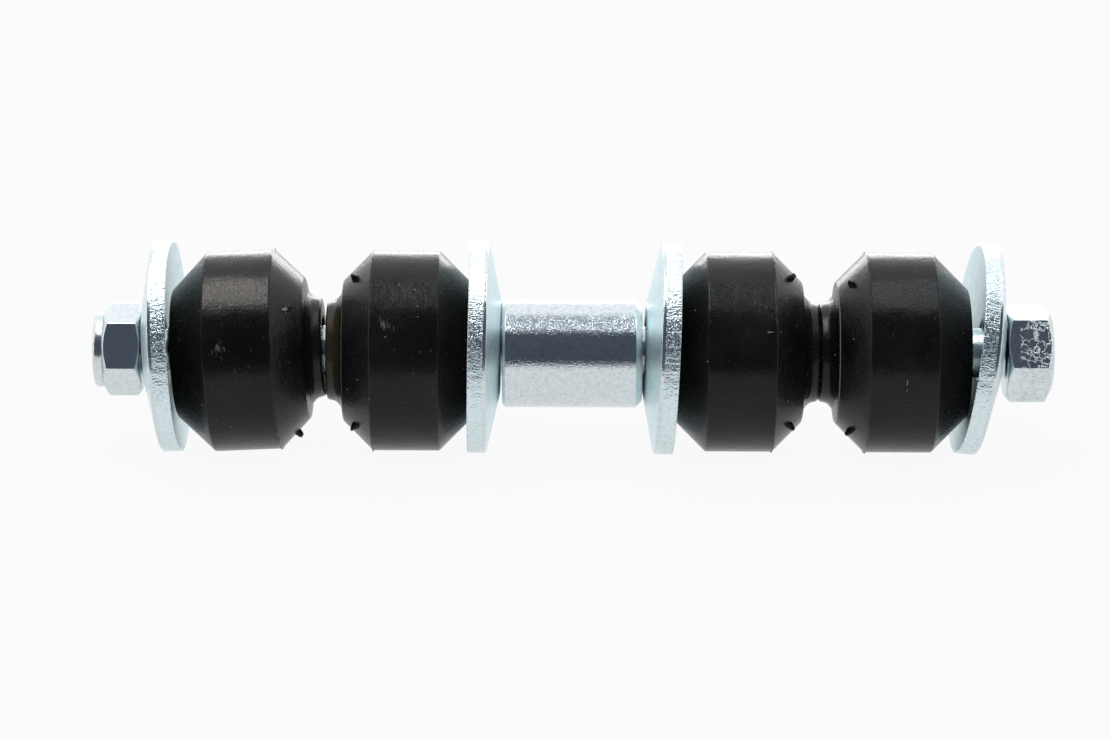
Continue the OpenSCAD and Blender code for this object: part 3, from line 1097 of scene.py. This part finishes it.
def washer_outline(size, seed):
    """Outline of a dished washer by angle: bore, hub, cone, and a sheared rim that is smooth, then torn."""
    rim = size.diameter / 2
    hub = size.hub_diameter / 2
    burnished = rim - BURNISH_DEPTH * size.tear
    torn_from = size.rise + size.burnish
    top = size.rise + size.thickness

    def torn(angle, height):
        place = Vector((rim * math.cos(angle), rim * math.sin(angle), TORN_DRAW * height)) / MM
        place.z += TORN_STEP * seed
        rough = noise.turbulence(place, TORN_OCTAVES, False, noise_basis="PERLIN_ORIGINAL")
        return size.tear * (TORN_MEAN + TORN_SWING * rough)

    def outline_at(angle):
        corners = [
            (size.bore / 2, 0, size.bore_round),
            (hub, 0, size.bend),
            (burnished, size.rise, size.roll),
            (burnished, torn_from, 0),
        ]
        for row in range(1, TORN_ROWS):
            height = torn_from + (top - torn_from) * row / TORN_ROWS
            corners.append((rim - torn(angle, height), height, 0))
        corners += [
            (rim - BURR_DEPTH * size.tear - size.burr * ripple(angle, BURR_WAVES, seed), top, 0),
            (rim - size.burr_width, top - size.burr_rise, 0),
            (hub, size.thickness, size.bend),
            (size.bore / 2, size.thickness, size.bore_round),
        ]
        return rounded(corners)

    return outline_at


def rim_finish(row):
    """Place of the finish of the strip that follows a row of a washer's outline."""
    burnished = 2 * ARC_ROWS
    torn = 3 * ARC_ROWS
    if burnished <= row < torn:
        return BURNISHED_EDGE
    if torn <= row < torn + TORN_ROWS:
        return TORN_RIM
    return SHEET_FACE


def sleeve_outline(size):
    """Outline of the spacer sleeve."""
    outer = size.diameter / 2
    inner = size.bore / 2
    corners = [
        (inner, 0, size.edge_round),
        (outer - size.nut_bevel, 0, size.edge_round),
        (outer, size.nut_bevel, size.edge_round),
        (outer, size.length - size.head_bevel, size.edge_round),
        (outer - size.head_bevel, size.length, size.edge_round),
        (inner, size.length, size.edge_round),
    ]
    return rounded(corners)


def bolt_outline(size, turn):
    """Outline of the bolt by angle, from the top of its chamfered head to its threaded end."""
    shank = size.diameter / 2
    root = size.thread_root / 2
    top = size.head_flats / 2 - size.head_inset
    bearing = size.head_flats / 2 - size.bearing_inset
    slope = math.tan(size.head_chamfer)
    thread_from = size.length - size.thread_length

    def outline_at(angle):
        side = hexagon_radius(angle, turn, size.head_flats, size.corner_round)
        corners = [
            (0, 0, 0),
            (top, 0, size.edge_round),
            (side, (side - top) * slope, size.edge_round),
            (side, size.head_height - (side - bearing) * slope, size.edge_round),
            (bearing, size.head_height, size.edge_round),
            (shank, size.head_height, size.neck_round),
            (shank, thread_from, size.thread_round),
            (root, thread_from + shank - root, size.thread_round),
            (root, size.length - size.end_bevel, size.thread_round),
            (root - size.end_bevel / 2, size.length, size.thread_round),
            (0, size.length, 0),
        ]
        return rounded(corners)

    return outline_at


def nut_outline(size, turn):
    """Outline of the lock nut by angle: bearing face, hexagon, rolled collar, pocket and bore."""
    bearing = size.flats / 2 - size.bearing_inset
    top = size.flats / 2 - size.collar_inset
    slope = math.tan(size.chamfer)
    collar = size.collar / 2
    pocket = size.pocket / 2
    bore = size.bore / 2
    floor = size.height - size.lip - size.pocket_depth

    def outline_at(angle):
        side = hexagon_radius(angle, turn, size.flats, size.corner_round)
        corners = [
            (bore, size.countersink, size.hole_round),
            (bore + size.countersink, 0, size.hole_round),
            (bearing, 0, size.edge_round),
            (side, (side - bearing) * slope, size.edge_round),
            (side, size.hexagon_height - (side - top) * slope, size.edge_round),
            (max(top, collar + size.ledge), size.hexagon_height, 0),
            (collar, size.hexagon_height, size.collar_root),
            (collar, size.height, size.collar_round),
            (size.lip_bore / 2, size.height, size.lip_round),
            (size.lip_bore / 2, size.height - size.lip, size.hole_round),
            (pocket, size.height - size.lip, size.hole_round),
            (pocket, floor, size.hole_round),
            (bore, floor, size.hole_round),
        ]
        return rounded(corners)

    return outline_at


def insert_outline(size):
    """Outline of the nylon ring."""
    outer = size.insert_diameter / 2
    inner = size.insert_bore / 2
    corners = [
        (inner, 0, size.insert_round),
        (outer, 0, size.insert_round),
        (outer, size.insert_height, size.insert_round),
        (inner, size.insert_height, size.insert_round),
    ]
    return rounded(corners)


class STABILIZER_OT_bushings(bpy.types.Operator):
    """Mould the four rubber bushings, with their parting flash and torn gate stubs"""

    bl_idname = "stabilizer.bushings"
    bl_label = "Mould Bushings"

    def execute(self, context):
        size = context.scene.stabilizer_link.bushing
        rubber = finish_named(context, "moulded_rubber")
        gates = gate_tree()
        flash_at, shoulder_at = nose_ends(size)
        narrowing = (size.diameter - size.shoulder_diameter) / 2
        lean = math.atan2(shoulder_at - flash_at, narrowing)
        stub = size.gate_diameter / 2
        sunk = size.gate_sink * stub
        for name, (joint, way) in BUSHINGS.items():
            seed = SEEDS[name]
            place = stand(name, joint_axis(joint) * way)
            piece = turned(
                "moulded_" + name,
                bushing_outline(size, seed),
                even_angles(BUSHING_STEPS),
                place,
                [rubber],
                seed=seed,
            )
            carry(piece, name)
            lift = getattr(size, name.replace("bushing", "gate_lift"))
            stubs = grown(
                name.replace("bushing", "gate_stubs"),
                gates,
                {
                    "Count": size.gates,
                    "Circle Radius": (size.diameter + size.shoulder_diameter) / 4 - sunk * math.sin(lean),
                    "Height": (flash_at + shoulder_at) / 2 - sunk * math.cos(lean),
                    "Turn": facing(place, lift),
                    "Lean": lean,
                    "Stub Radius": stub,
                    "Tip Radius": size.gate_taper * stub,
                    "Stub Length": size.gate_height + sunk,
                    "Tear": size.gate_tear * stub,
                    "Seed": float(seed),
                    "Finish": rubber,
                },
                place,
                seed,
            )
            carry(stubs, name, stands_for=False)
        return {"FINISHED"}


class STABILIZER_OT_washers(bpy.types.Operator):
    """Press the four dished washers, with sheared and torn rims"""

    bl_idname = "stabilizer.washers"
    bl_label = "Press Washers"

    def execute(self, context):
        size = context.scene.stabilizer_link.washer
        finishes = [finish_named(context, name) for name in ("satin_zinc", "torn_zinc", "bright_zinc")]
        for name, (joint, way) in WASHERS.items():
            seed = SEEDS[name]
            piece = turned(
                "pressed_" + name,
                washer_outline(size, seed),
                even_angles(WASHER_STEPS),
                stand(name, joint_axis(joint) * way),
                finishes,
                finish_of_row=rim_finish,
                seed=seed,
            )
            carry(piece, name)
        return {"FINISHED"}


class STABILIZER_OT_sleeve(bpy.types.Operator):
    """Cut the spacer sleeve from tube, with bevelled ends"""

    bl_idname = "stabilizer.sleeve"
    bl_label = "Cut Sleeve"

    def execute(self, context):
        outline = sleeve_outline(context.scene.stabilizer_link.sleeve)
        piece = turned(
            "cut_spacer_sleeve",
            lambda angle: outline,
            even_angles(SLEEVE_STEPS),
            stand("spacer_sleeve", joint_axis("sleeve_spin")),
            [finish_named(context, "drawn_zinc")],
            seed=SEEDS["spacer_sleeve"],
        )
        carry(piece, "spacer_sleeve")
        return {"FINISHED"}


class STABILIZER_OT_bolt(bpy.types.Operator):
    """Forge the through bolt and roll its thread"""

    bl_idname = "stabilizer.bolt"
    bl_label = "Forge Bolt"

    def execute(self, context):
        size = context.scene.stabilizer_link.bolt
        place = stand("through_bolt", -joint_axis("bolt_slide"))
        turn = facing(place, size.head_lift)
        angles = hexagon_angles(turn, corner_room(size.head_flats, size.corner_round))
        plating = finish_named(context, "bright_zinc")
        crackled = finish_named(context, "crackled_zinc")
        head_rows = 1 + 4 * ARC_ROWS
        piece = turned(
            "forged_through_bolt",
            bolt_outline(size, turn),
            angles,
            place,
            [crackled, plating],
            closed=False,
            finish_of_row=lambda row: int(row >= head_rows),
            seed=SEEDS["through_bolt"],
        )
        carry(piece, "through_bolt")
        runout = size.diameter / 4
        rolled = size.thread_length - size.thread_start - runout
        ridge = size.thread_crest - size.thread_root
        thread = grown(
            "rolled_thread",
            thread_tree(),
            {
                "Turns": rolled / size.pitch,
                "Radius": size.thread_root / 2 + ridge / 4 - size.ridge_sink / 2,
                "Length": rolled,
                "Start": size.length - size.thread_start - rolled,
                "Foot Width": size.foot_width,
                "Crest Width": size.crest_width,
                "Ridge Height": ridge / 2 + size.ridge_sink,
                "Finish": plating,
            },
            place,
            SEEDS["rolled_thread"],
        )
        carry(thread, "through_bolt", stands_for=False)
        return {"FINISHED"}


class STABILIZER_OT_nut(bpy.types.Operator):
    """Turn the lock nut with its rolled collar, and press in the nylon ring"""

    bl_idname = "stabilizer.nut"
    bl_label = "Turn Nut"

    def execute(self, context):
        size = context.scene.stabilizer_link.nut
        axis = joint_axis("nut_spin")
        place = stand("lock_nut", axis)
        turn = facing(place, size.lift)
        piece = turned(
            "turned_lock_nut",
            nut_outline(size, turn),
            hexagon_angles(turn, corner_room(size.flats, size.corner_round)),
            place,
            [finish_named(context, "bright_zinc")],
            seed=SEEDS["lock_nut"],
        )
        carry(piece, "lock_nut")
        outline = insert_outline(size)
        ring = turned(
            "pressed_nylon_insert",
            lambda angle: outline,
            even_angles(INSERT_STEPS),
            stand("nylon_insert", axis),
            [finish_named(context, "natural_nylon")],
            seed=SEEDS["nylon_insert"],
        )
        carry(ring, "nylon_insert")
        return {"FINISHED"}


def card(name, corners, material):
    """Flat sheet of the stage."""
    mesh = bpy.data.meshes.new(name)
    mesh.from_pydata(corners, [], [(0, 1, 2, 3)])
    mesh.materials.append(material)
    sheet = bpy.data.objects.new(name, mesh)
    bpy.context.scene.collection.objects.link(sheet)
    sheet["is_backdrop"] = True
    return sheet


def floor_paint(size):
    """Matt floor that gives light of its own, so that it stays near white under the link."""
    material, tree, surface = new_material("pale_floor")
    finish_surface(
        tree,
        surface,
        Base_Color=size.floor_colour,
        Roughness=0.9,
        Specular_IOR_Level=0.0,
        Emission_Color=size.floor_light,
        Emission_Strength=size.floor_glow,
    )
    return material


def dark_felt(tone):
    """Dark cloth of the card."""
    material, tree, surface = new_material("dark_felt")
    finish_surface(tree, surface, Base_Color=tone, Roughness=1.0, Specular_IOR_Level=0.0)
    return material


# Brightness of the overhead panel from the nut's end to the head's, as shares of the brightest
PANEL_STEPS = (
    (0.000, (1.00, 0.95, 0.90, 1)),
    (0.180, (1.00, 0.95, 0.90, 1)),
    (0.240, (0.18, 0.18, 0.18, 1)),
    (0.360, (0.115, 0.115, 0.12, 1)),
    (0.410, (0.018, 0.021, 0.026, 1)),
    (0.590, (0.018, 0.021, 0.026, 1)),
    (0.620, (0.075, 0.083, 0.09, 1)),
    (0.700, (0.10, 0.108, 0.116, 1)),
    (0.715, (0.47, 0.48, 0.50, 1)),
    (0.790, (0.47, 0.48, 0.50, 1)),
    (0.820, (0.10, 0.108, 0.116, 1)),
    (1.000, (0.10, 0.108, 0.116, 1)),
)


def panel_glow(width, brightness):
    """Light of the overhead panel, uneven along the bolt."""
    material, tree, _ = new_material("panel_glow")
    place = node(tree, "ShaderNodeTexCoord").outputs["Object"]
    along = between(tree, part(tree, place, "X"), (-width / 2, width / 2), (0.0, 1.0))
    tone = ramp(tree, along, PANEL_STEPS)
    glow = node(tree, "ShaderNodeEmission", {"Color": tone, "Strength": brightness}).outputs["Emission"]
    tree.links.new(glow, tree.nodes["Material Output"].inputs["Surface"])
    return material


def lay_floor(size, ground):
    """Lays the floor under the link."""
    half = size.floor_size / 2
    corners = [(-half, -half, ground), (half, -half, ground), (half, half, ground), (-half, half, ground)]
    card("floor", corners, floor_paint(size))


def stand_dark_card(size, ground):
    """Stands a dark card in front of the link, for its gloss to mirror, unseen by the camera."""
    side = size.card_width / 2
    front = -size.card_distance
    high = ground + size.card_height
    corners = [(-side, front, ground), (side, front, ground), (side, front, high), (-side, front, high)]
    dark = card("dark_card", corners, dark_felt(size.card_colour))
    dark.visible_camera = False
    dark.visible_diffuse = False


def hang_panel(size, ground):
    """Hangs the light panel over the link, unseen by the camera."""
    above = ground + size.panel_height
    side = size.panel_width / 2
    deep = size.panel_depth / 2
    corners = [(-side, -deep, above), (-side, deep, above), (side, deep, above), (side, -deep, above)]
    overhead = card("overhead_panel", corners, panel_glow(size.panel_width, size.panel_light))
    overhead.visible_camera = False


def stand_rim_panel(size, ground):
    """Stands a light panel behind the link that shines to the front, unseen by the camera."""
    lamp = bpy.data.lights.new("rim_panel", "AREA")
    lamp.shape = "RECTANGLE"
    lamp.size = size.rim_width
    lamp.size_y = size.rim_height
    lamp.energy = size.rim_light * math.pi * size.rim_width * size.rim_height
    panel = bpy.data.objects.new("rim_panel", lamp)
    panel.location = (0, size.rim_distance, ground + size.rim_height / 2)
    panel.rotation_euler.x = -math.pi / 2
    panel.visible_camera = False
    bpy.context.scene.collection.objects.link(panel)


def bright_surround(size):
    """Bright, even surround."""
    world = bpy.data.worlds.new("bright_surround")
    world.use_nodes = True
    sky = world.node_tree.nodes["Background"]
    sky.inputs["Color"].default_value = size.sky_colour
    sky.inputs["Strength"].default_value = size.sky
    return world


def aimed_camera(size):
    """Camera with the photograph's angle and frame."""
    lens = bpy.data.cameras.new("camera")
    lens.sensor_width = SENSOR_WIDTH
    lens.lens = SENSOR_WIDTH * size.distance / (IMAGE_WIDTH * size.pixel)
    camera = bpy.data.objects.new("camera", lens)
    look = Vector((0, math.cos(size.elevation), -math.sin(size.elevation)))
    up = Vector((0, math.sin(size.elevation), math.cos(size.elevation)))
    target = Vector((size.along, 0, 0)) - up * size.below
    camera.location = target - look * size.distance
    aim = look.to_track_quat("-Z", "Y").to_matrix().to_4x4()
    camera.rotation_euler = (aim @ Matrix.Rotation(size.roll, 4, "Z")).to_euler()
    bpy.context.scene.collection.objects.link(camera)
    return camera


class STABILIZER_OT_stage(bpy.types.Operator):
    """Lay the floor, hang the lights and set the camera"""

    bl_idname = "stabilizer.stage"
    bl_label = "Set Stage"

    def execute(self, context):
        scene = context.scene
        size = scene.stabilizer_link.stage
        ground = CAD_BOX[0][Z]
        lay_floor(size, ground)
        stand_dark_card(size, ground)
        hang_panel(size, ground)
        stand_rim_panel(size, ground)
        scene.world = bright_surround(size)
        scene.view_settings.view_transform = "Standard"
        scene.camera = aimed_camera(size)
        return {"FINISHED"}


PIECES = (
    STABILIZER_OT_stage,
    STABILIZER_OT_bushings,
    STABILIZER_OT_washers,
    STABILIZER_OT_sleeve,
    STABILIZER_OT_bolt,
    STABILIZER_OT_nut,
)


class STABILIZER_PT_link(bpy.types.Panel):
    """Steps that make the link"""

    bl_idname = "STABILIZER_PT_link"
    bl_label = SIDEBAR_TAB
    bl_space_type = "VIEW_3D"
    bl_region_type = "UI"
    bl_category = SIDEBAR_TAB

    def draw(self, context):
        for piece in PIECES:
            self.layout.operator(piece.bl_idname)


CLASSES = (
    BushingSizes,
    WasherSizes,
    SleeveSizes,
    BoltSizes,
    NutSizes,
    Finishes,
    StageSizes,
    LinkSettings,
    *PIECES,
    STABILIZER_PT_link,
)


def register():
    for kind in CLASSES:
        bpy.utils.register_class(kind)
    bpy.types.Scene.stabilizer_link = bpy.props.PointerProperty(type=LinkSettings)


def unregister():
    del bpy.types.Scene.stabilizer_link
    for kind in reversed(CLASSES):
        bpy.utils.unregister_class(kind)


def main():
    register()
    bpy.ops.stabilizer.stage()
    bpy.ops.stabilizer.bushings()
    bpy.ops.stabilizer.washers()
    bpy.ops.stabilizer.sleeve()
    bpy.ops.stabilizer.bolt()
    bpy.ops.stabilizer.nut()
    boxes = {"cad": CAD_BOX, "visual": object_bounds()}
    {name: [list(corner) for corner in box] for name, box in boxes.items()}


if __name__ == "__main__":
    main()
